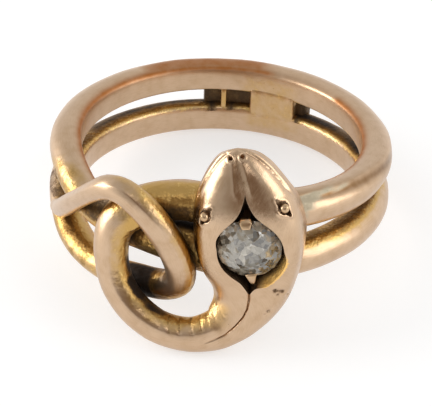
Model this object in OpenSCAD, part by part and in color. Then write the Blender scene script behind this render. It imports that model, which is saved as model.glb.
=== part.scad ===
// Snake ring: one tapering gold body wound twice round the finger, with a diamond in the head.
// The ring is drawn round its finger axis first and then tipped into the pose in which it rests.

/* [Finger hole] */
// Inside diameter of the ring
bore_d = 17.3; // [16.9:0.1:17.7]

/* [Resting pose] */
// Tip of the finger axis away from the front, because the loop props the front up
rest_tip = 9.5; // [8:0.1:11]
// Lean of the finger axis to the right, seen from the front
rest_lean = 2.4; // [1:0.1:3]

/* [Head] */
// Sideways place of the head, to the right of the front
head_side = 2.55; // [2.35:0.05:2.75]
// Turn of the head's face about the finger axis, to the right
head_turn = -3; // [-5:1:0]
// Lean of the head's long axis towards the left, about the stone
head_lean = 8; // [6:1:9]
// Width of the square cut round each eye bead
eye_cut = 0.75; // [0.6:0.05:0.8]
// Radius of an eye bead
eye_r = 0.27; // [0.2:0.01:0.3]
// Radius of a nostril
nostril_r = 0.13; // [0.1:0.01:0.15]

/* [Stone] */
// Diameter of the stone at its girdle
stone_d = 4.05; // [3.8:0.05:4.1]
// Height of the stone's middle along the finger
stone_rise = 1.5; // [1.4:0.05:1.6]
// Distance of the stone's girdle from the finger wall
stone_lift = 3.6; // [3.5:0.05:3.7]
// Width of a claw
claw_w = 0.65; // [0.5:0.05:0.8]

/* [Fineness] */
// Longest step between two sections along the body
step_len = 1.1; // [1:0.1:2]
// Sides of one section of the body
sides = 16; // [12:2:16]

/* [Hidden] */
bore_r = bore_d / 2;

// Columns of the body tables: angle round the finger, height along the finger,
// distance of the middle from the finger wall, width along the wall, thickness
loop_rows = [
    [ 10.0, -0.4, 2.95, 4.2, 1.9],
    [  9.8, -1.4, 3.00, 4.4, 2.0],
    [  8.9, -2.55, 3.05, 4.2, 2.0],
    [  5.4, -3.8, 3.05, 3.4, 2.0],
    [  0.3, -4.7, 3.05, 2.65, 2.0],
    [ -6.1, -5.1, 3.05, 2.2, 2.0],
    [-12.3, -5.1, 3.05, 2.1, 2.0],
    [-18.2, -4.8, 3.05, 2.1, 2.0],
    [-25.0, -3.95, 3.05, 2.1, 2.0],
    [-30.0, -2.75, 3.05, 2.1, 2.0],
    [-32.5, -1.3, 3.05, 2.1, 2.0],
    [-33.0,  0.0, 3.00, 2.2, 2.0],
    [-32.5,  1.0, 2.85, 2.3, 2.0],
    [-30.7,  1.8, 2.60, 2.3, 2.0],
    [-27.0,  2.4, 2.20, 2.2, 2.0],
    [-22.0,  2.75, 1.70, 2.2, 2.1],
    [-16.0,  2.9, 1.15, 2.3, 2.3],
    [ -9.0,  2.9, 0.85, 2.5, 2.4],
    [  6.0,  2.6, 0.80, 2.5, 2.4],
    [ 20.0,  2.25, 0.80, 2.5, 2.4],
    [ 35.0,  1.95, 0.80, 2.4, 2.4],
    [ 60.0,  1.6, 0.80, 2.3, 2.4],
    [ 90.0,  1.35, 0.80, 2.15, 2.4],
    [135.0,  1.3, 0.80, 2.0, 2.4],
    [180.0,  1.3, 0.80, 1.95, 2.35],
    [225.0,  1.35, 0.80, 2.0, 2.4],
    [255.0,  1.4, 0.80, 2.1, 2.45],
    [275.0,  1.3, 0.80, 2.1, 2.4],
    [290.0,  0.85, 0.80, 2.1, 2.3],
    [305.0,  0.2, 0.75, 2.1, 2.2],
    [320.0, -0.05, 0.75, 2.1, 2.2],
    [335.0, -0.1, 0.75, 2.3, 2.2],
    [347.0, -0.25, 0.75, 2.7, 2.2],
    [360.0, -0.7, 0.75, 2.8, 2.2],
    [370.0, -1.2, 0.75, 2.2, 2.2],
];
lower_rows = [
    [  4.0, -1.15, 0.75, 2.1, 2.3],
    [ 18.0, -1.3, 0.80, 2.3, 2.4],
    [ 40.0, -1.3, 0.80, 2.3, 2.4],
    [ 60.0, -1.35, 0.80, 2.25, 2.4],
    [ 90.0, -1.45, 0.80, 2.1, 2.3],
    [135.0, -1.55, 0.75, 2.0, 2.3],
    [180.0, -1.6, 0.70, 1.95, 2.2],
    [225.0, -1.6, 0.75, 1.95, 2.3],
    [260.0, -1.55, 0.80, 2.0, 2.4],
    [278.0, -2.1, 0.80, 2.0, 2.4],
    [292.0, -3.0, 0.80, 1.95, 2.3],
    [305.0, -3.4, 0.80, 1.9, 2.2],
    [315.0, -3.45, 0.80, 1.9, 2.1],
    [325.0, -3.4, 0.80, 1.85, 2.0],
];
tail_rows = [
    [-46.0, -3.5, 0.85, 1.8, 1.9],
    [-38.0, -3.5, 0.90, 1.85, 1.8],
    [-30.0, -3.3, 1.0, 1.9, 1.8],
    [-23.0, -3.2, 1.1, 1.9, 1.8],
    [-17.0, -2.9, 1.4, 1.9, 1.8],
    [-12.5, -2.2, 1.9, 1.9, 1.8],
    [-11.0, -1.2, 2.4, 1.85, 1.8],
    [-11.8,  0.1, 2.9, 1.8, 1.8],
    [-14.0,  1.4, 3.3, 1.8, 1.7],
    [-17.2,  2.7, 3.7, 1.8, 1.7],
    [-21.5,  3.8, 3.9, 1.75, 1.7],
    [-26.5,  4.5, 4.0, 1.65, 1.6],
    [-31.5,  4.4, 3.9, 1.5, 1.5],
    [-37.0,  3.6, 3.6, 1.3, 1.4],
    [-45.0,  2.2, 3.0, 1.25, 1.4],
    [-56.0,  0.4, 2.3, 1.25, 1.4],
    [-67.0, -1.1, 1.8, 1.2, 1.3],
    [-74.0, -1.7, 1.7, 0.9, 1.0],
    [-76.0, -1.9, 1.7, 0.3, 0.3],
];

// Columns of the head table: height above the stone along the head, sideways middle, half width,
// distance of the underside and of the crown from the finger wall
head_rows = [
    [ 6.2, -0.25, 0.15, 2.5, 2.7],
    [ 6.0, -0.2, 0.7, 2.2, 2.95],
    [ 5.5, -0.15, 1.25, 1.9, 3.2],
    [ 4.7, -0.1, 1.85, 1.8, 3.6],
    [ 3.5, -0.1, 2.6, 1.8, 4.0],
    [ 2.3, -0.05, 3.08, 1.6, 4.3],
    [ 0.7, -0.05, 3.32, 1.3, 4.45],
    [-0.6, -0.1, 3.3, 1.2, 4.4],
    [-1.8, -0.15, 3.05, 1.3, 4.3],
    [-2.9, -0.1, 2.6, 1.5, 4.15],
    [-3.9, -0.2, 2.2, 1.9, 4.0],
    [-4.8, -0.7, 1.7, 2.2, 3.8],
];
head_arc = 16;
head_fullness = 0.8;

// Hollow round the stone: distance of its floor from the finger wall, gap beside the stone,
// and distance of its two points from the stone's middle
hollow_floor = 2.2;
hollow_h = 4;
seat_gap = 0.06;
neck_point = 2.5;
snout_point = 3.9;

// Eyes: sideways distance and middle, distance from the finger wall, height above the stone,
// slope of the flank that they sit on and level of the cut's floor
eye_side = 2.35;
eye_mid = -0.1;
eye_lift = 3.4;
eye_rise = 2.3;
eye_slope = 55;
eye_floor = -0.15;

// Nostrils: sideways middle and distance, height above the stone and level of their ends
nostril_mid = -0.2;
nostril_side = 0.41;
nostril_rise = 5.85;
nostril_floor = 2.6;

// Crease along the crown of the neck: first and last place in the loop table, depth and width
crease_from = 0.7;
crease_to = 4.8;
crease_depth = 0.28;
crease_w = 0.2;
crease_steps = 12;
crease_fade = 0.96;

// Claws: gap beside the stone's edge, thickness, reach of the foot under the stone, height of the
// gripping side above the girdle, its rise for each millimetre of grip, and thickness of the tip
claw_gap = 0.08;
claw_t = 0.28;
claw_foot = 0.45;
claw_over = 0.2;
claw_pitch = 0.8;
claw_tip = 0.2;
claw_grip = [0.45, 0.25];

// Columns of the stone table: share of the stone's radius, height above the girdle's middle,
// corners and turn of one ring, from the table down to the point
stone_gap = 0.02;
stone_rings = [
    [0.56, 0.62, 8, 0],
    [0.82, 0.36, 8, 22.5],
    [1, 0.06, 16, 11.25],
    [1, -0.06, 16, 11.25],
    [0.55, -0.75, 8, 22.5],
    [0.12, -1.3, 8, 0],
];

// Columns of the solder table at the back: first and last angle round the finger,
// nearest and farthest distance from the finger wall
solder_rows = [
    [140, 185, 0.62, 1.5],
    [149, 168.5, -0.2, 1.5],
    [178.6, 181, -0.2, 1.2],
];
solder_low = -0.95;
solder_high = 0.65;

// Facets of the round cuts, and a length that passes right through the ring
round_fn = 96;
through_h = 30;

// Point at an angle round the finger, a height and a distance from the finger wall
function at(row) = [
    (bore_r + row[2]) * sin(row[0]),
    -(bore_r + row[2]) * cos(row[0]),
    row[1]
];

// Smooth curve through the rows: the value at share t between row i and row i + 1
function through(rows, i, t) =
    let (
        last = len(rows) - 1,
        a = rows[max(i - 1, 0)],
        b = rows[i],
        c = rows[min(i + 1, last)],
        d = rows[min(i + 2, last)]
    )
    b + 0.5 * t * (c - a + t * (2 * a - 5 * b + 4 * c - d + t * (3 * (b - c) + d - a)));

// All rows of a table and the smooth ones between them, no further apart than step_len
function smooth_rows(rows) = concat(
    [
        for (i = [0 : len(rows) - 2])
            let (parts = ceil(norm(at(rows[i + 1]) - at(rows[i])) / step_len))
            for (k = [0 : parts - 1]) through(rows, i, k / parts)
    ],
    [rows[len(rows) - 1]]
);

function unit(v) = v / norm(v);

// One oval section of the body, square to its path, with its width along the finger wall
function section(rows, i) =
    let (
        last = len(rows) - 1,
        row = rows[i],
        ahead = unit(at(rows[min(i + 1, last)]) - at(rows[max(i - 1, 0)])),
        wall = [sin(row[0]), -cos(row[0]), 0],
        side = unit(cross(ahead, wall)),
        out = cross(side, ahead)
    )
    [
        for (k = [0 : sides - 1])
            at(row) + side * row[3] / 2 * cos(360 * k / sides) + out * row[4] / 2 * sin(360 * k / sides)
    ];

// Row at a place counted along a table, such as 2.5 for midway between rows 2 and 3
function row_at(rows, place) = through(rows, floor(place), place - floor(place));

// Wedge section of the crease, its edge below the crown of the body, fading out at the end
function crease_section(share) =
    let (
        place = crease_from + (crease_to - crease_from) * share,
        row = row_at(loop_rows, place),
        ahead = unit(at(row_at(loop_rows, place + 0.1)) - at(row_at(loop_rows, place - 0.1))),
        wall = [sin(row[0]), -cos(row[0]), 0],
        side = unit(cross(ahead, wall)),
        crown = at(row) + wall * row[4] / 2,
        fade = sqrt(1 - share * share * crease_fade)
    )
    [
        crown - wall * crease_depth * fade,
        crown + wall * crease_depth + side * crease_w * fade,
        crown + wall * crease_depth - side * crease_w * fade
    ];

// Closed solid through equal rings of points
module skin(rings) {
    count = len(rings);
    size = len(rings[0]);
    walls = [
        for (i = [0 : count - 2], k = [0 : size - 1])
            let (a = i * size + k, b = i * size + (k + 1) % size)
            each [[a, b, a + size], [b, b + size, a + size]]
    ];
    start_cap = [for (k = [0 : size - 1]) size - 1 - k];
    end_cap = [for (k = [0 : size - 1]) (count - 1) * size + k];
    polyhedron([for (ring = rings) each ring], concat(walls, [start_cap, end_cap]));
}

// Body along the smooth curve through a table
module body_along(table) {
    rows = smooth_rows(table);
    skin([for (i = [0 : len(rows) - 1]) section(rows, i)]);
}

// Places its children in the head's own frame, about the stone: X sideways, Y away from
// the finger, Z towards the snout
module in_head() {
    translate([head_side, 0, stone_rise])
    rotate(head_turn)
    rotate([0, -head_lean, 0])
    mirror([0, 1, 0])
    children();
}

// One domed section of the head, from its right edge over the crown to its left edge
function head_section(row) = [
    for (k = [0 : head_arc])
        let (a = 180 * k / head_arc, c = cos(a))
        [
            row[1] + row[2] * sign(c) * pow(abs(c), head_fullness),
            bore_r + row[3] + (row[4] - row[3]) * pow(sin(a), head_fullness),
            row[0]
        ]
];

module head() {
    rows = [
        for (i = [0 : len(head_rows) - 2], k = [0 : 1]) through(head_rows, i, k / 2),
        head_rows[len(head_rows) - 1]
    ];
    in_head()
    skin([for (row = rows) head_section(row)]);
}

// Solder between the two turns at the back
module solder() {
    for (row = solder_rows)
        rotate_extrude(angle = row[1] - row[0], start = row[0] - 90, $fn = round_fn)
        translate([bore_r + row[2], solder_low])
        square([row[3] - row[2], solder_high - solder_low]);
}

// Groove that parts the neck below the stone into two lobes
module crease() {
    skin([for (k = [0 : crease_steps]) crease_section(k / crease_steps)]);
}

// Point of the hollow, whose straight sides run on from the round of the given radius
function tip_on_round(r, tip) =
    let (a = acos(r / abs(tip)), way = sign(tip))
    [[-r * sin(a), way * r * cos(a)], [0, tip], [r * sin(a), way * r * cos(a)]];

// Hollow round the stone: a round seat with a point towards the snout and one towards the neck
module stone_hollow() {
    seat_r = stone_d / 2 + seat_gap;
    in_head()
    translate([0, bore_r + hollow_floor, 0])
    rotate([-90, 0, 0])
    linear_extrude(hollow_h) {
        circle(r = seat_r, $fn = round_fn / 2);
        polygon(tip_on_round(seat_r, -snout_point));
        polygon(tip_on_round(seat_r, neck_point));
    }
}

// Claw that rises from below the stone and grips its edge, at the given end of the stone
module claw(way, grip) {
    edge = stone_d / 2;
    root = hollow_floor - claw_tip;
    hook = stone_lift + claw_over;
    tip = hook + grip * claw_pitch;
    in_head()
    translate([-claw_w / 2, bore_r, 0])
    rotate([90, 0, 90])
    linear_extrude(claw_w)
    polygon([
        [root, way * (edge - claw_foot)],
        [stone_lift, way * (edge + claw_gap)],
        [hook, way * (edge + claw_gap)],
        [tip, way * (edge - grip)],
        [tip + claw_tip, way * (edge - grip)],
        [hook + claw_tip / 2, way * (edge + claw_gap + claw_t)],
        [root, way * (edge - claw_foot + claw_t)]
    ]);
}

// Frame of an eye on the head's flank, with Y square to the flank
module at_eye(way) {
    in_head()
    translate([eye_mid + way * eye_side, bore_r + eye_lift, eye_rise])
    rotate(-way * eye_slope)
    children();
}

// Square cut that an eye bead sits in
module eye_socket(way) {
    at_eye(way)
    translate([-eye_cut / 2, eye_floor, -eye_cut / 2])
    cube([eye_cut, 1, eye_cut]);
}

module nostril(way) {
    in_head()
    translate([nostril_mid + way * nostril_side, bore_r + nostril_floor, nostril_rise])
    rotate([-90, 0, 0])
    cylinder(h = hollow_h, r = nostril_r, $fn = 16);
}

module snake() {
    color("goldenrod")
    rotate([-rest_tip, rest_lean, 0]) {
        difference() {
            union() {
                body_along(loop_rows);
                body_along(lower_rows);
                body_along(tail_rows);
                head();
                solder();
            }
            crease();
            cylinder(h = through_h, r = bore_r, center = true, $fn = round_fn);
            stone_hollow();
            for (way = [-1, 1]) {
                eye_socket(way);
                nostril(way);
            }
        }
        for (i = [0, 1]) {
            way = 2 * i - 1;
            claw(way, claw_grip[i]);
            at_eye(way)
            sphere(r = eye_r, $fn = 24);
        }
    }
}

// Old cut stone: table, crown, girdle and pavilion as rings of points under one skin
module diamond() {
    stone_r = stone_d / 2 - stone_gap;
    points = [
        for (ring = stone_rings, k = [0 : ring[2] - 1])
            let (a = 360 * k / ring[2] + ring[3])
            [ring[0] * stone_r * cos(a), ring[1], ring[0] * stone_r * sin(a)]
    ];
    color("silver")
    rotate([-rest_tip, rest_lean, 0])
    in_head()
    translate([0, bore_r + stone_lift, 0])
    hull()
    polyhedron(points, [for (i = [0 : len(points) - 3]) [i, i + 1, i + 2]]);
}

snake();
diamond();
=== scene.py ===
import math

import bmesh
import bpy
import numpy as np
from mathutils import Matrix, Vector


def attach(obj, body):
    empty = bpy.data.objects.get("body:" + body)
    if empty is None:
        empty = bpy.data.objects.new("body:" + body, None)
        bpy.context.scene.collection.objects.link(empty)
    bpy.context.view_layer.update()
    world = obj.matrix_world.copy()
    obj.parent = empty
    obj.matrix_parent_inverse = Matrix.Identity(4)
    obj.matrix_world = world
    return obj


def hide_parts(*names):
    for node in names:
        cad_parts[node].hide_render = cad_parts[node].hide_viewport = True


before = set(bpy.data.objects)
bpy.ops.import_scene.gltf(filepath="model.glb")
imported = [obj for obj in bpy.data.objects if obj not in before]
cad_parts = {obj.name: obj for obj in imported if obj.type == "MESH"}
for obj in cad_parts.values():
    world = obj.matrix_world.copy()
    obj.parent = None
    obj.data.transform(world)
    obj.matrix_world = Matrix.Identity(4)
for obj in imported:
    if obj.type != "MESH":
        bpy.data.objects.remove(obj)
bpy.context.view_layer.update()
print("frame loaded")

mm = 0.001
fullTurn = 2 * math.pi

# where the ring stands: radius of the finger hole, how the finger axis is tipped at rest in degrees, and where and
# how the head sits
hoop = {
    "wallRadius": 8.65, "restTip": 9.5, "restLean": 2.4,
    "headSide": 2.55, "headRise": 1.5, "headTurn": -3.0, "headLean": 8.0,
}


# rotation matrix about one axis, in degrees
def turned(axis, degrees):
    return np.array(Matrix.Rotation(math.radians(degrees), 3, axis))


restMatrix = turned("Y", hoop["restLean"]) @ turned("X", -hoop["restTip"])
headMatrix = turned("Z", hoop["headTurn"]) @ turned("Y", -hoop["headLean"]) @ np.diag([1.0, -1.0, 1.0])
headPlace = np.array([hoop["headSide"], 0, hoop["headRise"]])
headWall = np.array([0, hoop["wallRadius"], 0])


# head frame (sideways, lift off the finger wall, rise above the stone) to ring frame
def fromHead(points):
    return (np.asarray(points, float) + headWall) @ headMatrix.T + headPlace


# ring frame to head frame, the inverse of fromHead
def toHead(points):
    return (np.asarray(points, float) - headPlace) @ headMatrix - headWall


# angle round the finger, height and lift off the wall to a point: radius times sine, minus radius times
# cosine, height
def onWall(angle, height, lift):
    radius = hoop["wallRadius"] + np.asarray(lift, float)
    a = np.radians(angle)
    return np.stack([radius * np.sin(a), -radius * np.cos(a), np.asarray(height, float) + 0 * radius], axis=-1)


# ring frame to angle, height and lift
def fromWall(points):
    angle = np.degrees(np.arctan2(points[..., 0], -points[..., 1]))
    lift = np.hypot(points[..., 0], points[..., 1]) - hoop["wallRadius"]
    return angle, points[..., 2], lift


# ring frame in millimetres to the resting frame in metres
def atRest(points):
    return np.asarray(points, float).reshape(-1, 3) @ restMatrix.T * mm


# smooth step from 0 at low to 1 at high: 3 t squared minus 2 t cubed
def easeStep(low, high, value):
    t = np.clip((value - low) / (high - low), 0, 1)
    return t * t * (3 - 2 * t)


# 1 between low and high, falling smoothly to 0 within soft of either
def window(low, high, soft, value):
    return easeStep(low - soft, low + soft, value) * easeStep(high + soft, high - soft, value)


# bell curve: e to the minus (distance over width) squared
def bell(distance, width):
    return np.exp(-((distance / width) ** 2))


# sharper crest: e to the minus root of (distance squared plus 0.15)
def crest(distance):
    return np.exp(-np.sqrt(distance ** 2 + 0.15))


# smooth curve through table rows at places counted in rows: between rows b and c, with a before and d after,
# b + t/2 (c - a + t (2a - 5b + 4c - d + t (3 (b - c) + d - a)))
def throughRows(rows, places):
    last = len(rows) - 1
    i = np.clip(np.floor(places).astype(int), 0, last - 1)
    t = (places - i)[:, None]
    a, b, c, d = (rows[np.clip(i + k, 0, last)] for k in (-1, 0, 1, 2))
    return b + 0.5 * t * (c - a + t * (2 * a - 5 * b + 4 * c - d + t * (3 * (b - c) + d - a)))


# places along a table so that the points at them lie evenly, step millimetres apart, where each row
# counts as so many millimetres more
def evenPlaces(rows, toPoints, first, last, step, perRow=0.0):
    fine = np.linspace(first, last, 60 * int(last - first + 1))
    points = toPoints(throughRows(rows, fine))
    run = np.concatenate([[0], np.cumsum(np.linalg.norm(np.diff(points, axis=0), axis=1))]) + perRow * (fine - first)
    count = max(int(run[-1] / step), 2)
    return np.interp(np.linspace(0, run[-1], count + 1), run, fine)


# distance from points to a line of straight pieces, in the space of its corner list
def toLine(points, corners):
    best = np.full(points.shape[:-1], 1e9)
    for a, b in zip(corners[:-1], corners[1:]):
        along = b - a
        t = np.clip(((points - a) @ along) / (along @ along), 0, 1)
        best = np.minimum(best, np.linalg.norm(points - a - t[..., None] * along, axis=-1))
    return best


# the snake's body: one skin carried along a path from the snout to the tip of the tail
body = {
    "fineSides": 200,      # sides of a section of head, neck and loop
    "fineStep": 0.05,      # millimetres between those sections on the head
    "neckStep": 0.085,
    "bodySides": 100,
    "bodyStep": 0.86,
    "rowStep": 2.0,        # on the body each row of the table counts as so many millimetres more
    "outerShare": 0.5,     # how much denser the sides lie on the outer half of a section
    "wallRound": 0.13,     # rounding where the flat inner wall starts
    "unevenness": 0.012,
    "ridgeWidth": 11.0,    # degrees round the section
}

# left edge sideways and rise, right edge sideways and rise, lift of both edges, crown above and
# underside below that lift, and fullness of the dome (1 is an ellipse, less is fuller)
headRows = np.array([
    [-0.25, 6.14, -0.13, 6.14, 2.38, 0.20, 0.03, 0.8],
    [-0.50, 6.08, 0.08, 6.08, 2.34, 0.38, 0.06, 0.78],
    [-0.83, 5.95, 0.42, 5.95, 2.20, 0.66, 0.08, 0.76],
    [-1.17, 5.78, 0.80, 5.78, 2.05, 0.97, 0.10, 0.75],
    [-1.44, 5.50, 1.12, 5.50, 1.92, 1.27, 0.10, 0.75],
    [-1.77, 5.10, 1.48, 5.10, 1.84, 1.57, 0.10, 0.74],
    [-2.06, 4.70, 1.80, 4.70, 1.80, 1.79, 0.10, 0.72],
    [-2.74, 3.50, 2.52, 3.50, 1.80, 2.19, 0.10, 0.68],
    [-3.17, 2.30, 3.05, 2.30, 1.60, 2.70, 0.10, 0.65],
    [-3.40, 0.70, 3.28, 0.70, 1.30, 3.15, 0.10, 0.65],
    [-3.42, -0.60, 3.20, -0.60, 1.20, 3.20, 0.10, 0.67],
    [-3.20, -1.80, 2.90, -1.80, 1.50, 2.80, 0.25, 0.72],
    [-2.78, -2.75, 2.52, -2.85, 1.85, 2.30, 0.45, 0.8],
    [-2.62, -3.35, 2.02, -3.95, 2.18, 1.89, 0.65, 0.88],
    [-2.62, -3.80, 1.25, -4.95, 2.50, 1.53, 0.80, 0.94],
    [-2.75, -4.10, 0.40, -5.75, 2.76, 1.27, 0.90, 1],
    [-2.95, -4.40, -0.75, -6.50, 2.97, 1.08, 1.00, 1],
])

# angle round the finger (0 at the front, running on through both turns), height, lift of the middle,
# width, thickness, angle of the ridge round the section, its height, and gold beyond it (0 or 1)
bodyRows = np.array([
    [4.3, -4.15, 3.05, 3.1, 2, 66, 0, 0.6],
    [0.3, -4.7, 3.05, 2.65, 2, 66, 0.03, 0.8],
    [-6.1, -5.1, 3.05, 2.2, 2, 64, 0.05, 1],
    [-12.3, -5.1, 3.05, 2.1, 2, 64, 0.05, 1],
    [-18.2, -4.8, 3.05, 2.1, 2, 64, 0.05, 1],
    [-25, -3.95, 3.05, 2.1, 2, 64, 0.06, 1],
    [-30, -2.75, 3.05, 2.1, 2, 66, 0.06, 1],
    [-32.5, -1.3, 3.05, 2.1, 2, 66, 0.06, 1],
    [-33, 0, 3, 2.2, 2, 66, 0.06, 1],
    [-32.5, 1, 2.85, 2.3, 2, 70, 0.05, 1],
    [-30.7, 1.8, 2.55, 2.4, 2.15, 75, 0.03, 1],
    [-27, 2.4, 2.15, 2.5, 2.15, 95, 0, 1],
    [-22, 2.82, 1.7, 2.55, 2.2, 135, 0, 1],
    [-16, 2.95, 1.15, 2.5, 2.3, 160, 0, 1],
    [-9, 2.9, 0.85, 2.55, 2.4, 165, 0, 1],
    [6, 2.6, 0.8, 2.5, 2.4, 158, 0.05, 0.7],
    [20, 2.25, 0.8, 2.5, 2.4, 166, 0.13, 0.2],
    [35, 1.95, 0.8, 2.4, 2.35, 163, 0.19, 0],
    [60, 1.6, 0.8, 2.3, 2.35, 154, 0.19, 0],
    [90, 1.35, 0.8, 2.15, 2.4, 122, 0.1, 0],
    [135, 1.3, 0.8, 2, 2.4, 100, 0, 0],
    [180, 1.3, 0.8, 1.95, 2.35, 120, 0, 0],
    [225, 1.35, 0.8, 2, 2.4, 120, 0, 0],
    [255, 1.4, 0.8, 2.1, 2.45, 120, 0, 0],
    [275, 1.3, 0.8, 2.1, 2.4, 110, 0, 0.4],
    [290, 0.85, 0.8, 2.1, 2.3, 128, 0, 1],
    [305, 0.2, 0.75, 2.1, 2.2, 140, 0, 1],
    [320, 0.05, 0.75, 2.25, 2.2, 140, 0, 1],
    [335, 0.08, 0.75, 2.65, 2.2, 120, 0, 1],
    [347, -0.08, 0.75, 3, 2.2, 90, 0, 1],
    [360, -0.6, 0.75, 2.95, 2.2, 90, 0, 1],
    [370, -1.15, 0.77, 2.35, 2.3, 90, 0, 0.5],
    [378, -1.3, 0.8, 2.3, 2.4, 90, 0, 0],
    [400, -1.3, 0.8, 2.3, 2.4, 90, 0, 0],
    [420, -1.35, 0.8, 2.25, 2.4, 90, 0, 0],
    [450, -1.45, 0.8, 2.1, 2.3, 90, 0, 0],
    [495, -1.55, 0.75, 2, 2.3, 90, 0, 0],
    [540, -1.6, 0.7, 1.95, 2.2, 90, 0, 0],
    [585, -1.6, 0.75, 1.95, 2.3, 90, 0, 0],
    [620, -1.55, 0.8, 2, 2.4, 90, 0, 0],
    [638, -2.15, 0.8, 1.85, 2.4, 90, 0, 0.4],
    [652, -3.05, 0.8, 1.75, 2.3, 110, 0, 1],
    [665, -3.42, 0.8, 1.8, 2.2, 110, 0, 1],
    [674, -3.5, 0.85, 1.85, 1.95, 90, 0, 1],
    [682, -3.5, 0.9, 1.85, 1.8, 90, 0, 1],
    [690, -3.3, 1, 1.9, 1.8, 90, 0, 1],
    [697, -3.2, 1.1, 1.9, 1.8, 90, 0, 1],
    [703, -2.9, 1.4, 1.9, 1.8, 85, 0, 1],
    [707.5, -2.2, 1.9, 1.9, 1.8, 75, 0.01, 1],
    [709, -1.2, 2.4, 1.85, 1.8, 66, 0.02, 1],
    [708.2, 0.1, 2.9, 1.8, 1.8, 62, 0.04, 1],
    [706, 1.4, 3.3, 1.8, 1.7, 59, 0.05, 1],
    [702.8, 2.7, 3.7, 1.8, 1.7, 58, 0.06, 1],
    [698.5, 3.8, 3.9, 1.75, 1.7, 58, 0.06, 1],
    [693.5, 4.5, 4, 1.65, 1.6, 52, 0.06, 0.7],
    [688.5, 4.4, 3.9, 1.5, 1.5, 58, 0.06, 0.3],
    [683, 3.6, 3.6, 1.3, 1.4, 60, 0.05, 0],
    [675, 2.2, 3, 1.25, 1.4, 64, 0.03, 0],
    [664, 0.4, 2.3, 1.25, 1.4, 64, 0.02, 0],
    [653, -1.1, 1.8, 1.2, 1.3, 64, 0, 0],
    [646, -1.7, 1.7, 0.95, 1.05, 64, 0, 0],
    [644.3, -1.86, 1.7, 0.62, 0.72, 64, 0, 0],
    [643.7, -1.92, 1.7, 0.1, 0.12, 64, 0, 0],
])
joinRow = 1        # head and neck end, and the rest of the body starts, at this row of bodyRows
fineLastRow = 4    # the fine sections end here

# columns of a frame: the path's middle, half width to the side, reach of the crown and of the underside outwards,
# fullness of the dome, and the ridge with the gold beyond it
columns = {
    "middle": slice(0, 3), "side": slice(3, 6), "crown": slice(6, 9), "under": slice(9, 12),
    "full": slice(12, 13), "ridgeAngle": slice(13, 14), "ridgeHeight": slice(14, 15), "beyond": slice(15, 16),
}


# the named columns of some frames
def part(frames, name):
    return frames[:, columns[name]]


# middle of the path at rows of the body's table
def pathOf(rows):
    return onWall(*rows[:, :3].T)


# frames of the body at places along its table: ahead is the slope of the path, side = ahead x wall, out = side x ahead
def bodyFrames(places):
    rows = throughRows(bodyRows, places)
    ahead = pathOf(throughRows(bodyRows, places + 0.02)) - pathOf(throughRows(bodyRows, places - 0.02))
    ahead /= np.linalg.norm(ahead, axis=1, keepdims=True)
    a = np.radians(rows[:, 0])
    wall = np.stack([np.sin(a), -np.cos(a), 0 * a], axis=1)
    side = np.cross(ahead, wall)
    side /= np.linalg.norm(side, axis=1, keepdims=True)
    half = rows[:, 4:5] / 2
    out = np.cross(side, ahead) * half
    return np.hstack([pathOf(rows), side * rows[:, 3:4] / 2, out, out, 1 + 0 * half, rows[:, 5:8]])


# control frames of the head: its middle lies between its two edges, out is square to the head's plane
def headFrames(rows):
    left, right = fromHead(rows[:, [0, 4, 1]]), fromHead(rows[:, [2, 4, 3]])
    out = np.tile(headMatrix @ np.array([0, 1.0, 0]), (len(rows), 1))
    ridge = np.tile(bodyRows[0, 5:8], (len(rows), 1)) * [1, 0, 0]
    return np.hstack([(left + right) / 2, (left - right) / 2, out * rows[:, 5:6], out * rows[:, 6:7],
                      rows[:, 7:8], ridge])


# smooths each column along the path with a bell of the given number of stations
def smoothed(frames, spread):
    reach = int(3 * spread)
    weights = bell(np.arange(-reach, reach + 1), spread * 1.4)
    weights /= weights.sum()
    padded = np.vstack([2 * frames[:1] - frames[reach:0:-1], frames, 2 * frames[-1:] - frames[-2:-reach - 2:-1]])
    return np.stack([np.convolve(column, weights, mode="valid") for column in padded.T], axis=1)


headControls = np.vstack([headFrames(headRows), bodyFrames(np.array([joinRow, joinRow + 1.0]))])
headPlaces = evenPlaces(headControls, lambda frames: part(frames, "middle"), 0, len(headControls) - 2, body["fineStep"])
neckPlaces = evenPlaces(bodyRows, pathOf, joinRow, fineLastRow, body["neckStep"])
coilPlaces = evenPlaces(bodyRows, pathOf, fineLastRow, len(bodyRows) - 1, body["bodyStep"], body["rowStep"])
fineFrames = np.vstack([throughRows(headControls, headPlaces), bodyFrames(neckPlaces[1:])])
fineFrames = np.vstack([fineFrames[:6], smoothed(fineFrames, 4)[6:]])    # all but the tip of the snout
coilFrames = bodyFrames(coilPlaces)
fineFrames[-1] = coilFrames[0]
fade = np.linspace(1, 0, 5)[:, None]
fineFrames[-5:] = fineFrames[-5:] * fade + bodyFrames(neckPlaces[-5:]) * (1 - fade)
print("path laid:", len(fineFrames), "fine and", len(coilFrames), "plain sections")


# one skin: middle + reach * (side * cos + out * sin), where out is the crown above and the underside
# below, reach = (|cos|^n + |sin|^n)^(-1/n) with n = 2 / fullness, and each angle round the section is
# moved by a share of its cosine, so that more lie outwards
def skinned(frames, sides):
    phi = fullTurn * np.arange(sides) / sides
    phi = phi + body["outerShare"] * np.cos(phi)
    middle, side, crown, under, full = (part(frames, name)[:, None, :]
                                        for name in ("middle", "side", "crown", "under", "full"))
    c, s = np.cos(phi)[None, :, None], np.sin(phi)[None, :, None]
    reach = (np.abs(c) ** (2 / full) + np.abs(s) ** (2 / full)) ** (-full / 2)
    points = middle + reach * (side * c + np.where(s > 0, crown, under) * s)
    ridge = np.degrees(phi)[None, :] - part(frames, "ridgeAngle")
    ridge = (ridge + 180) % 360 - 180
    return points, np.repeat(np.degrees(phi)[None, :] % 360, len(frames), axis=0), ridge


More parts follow.
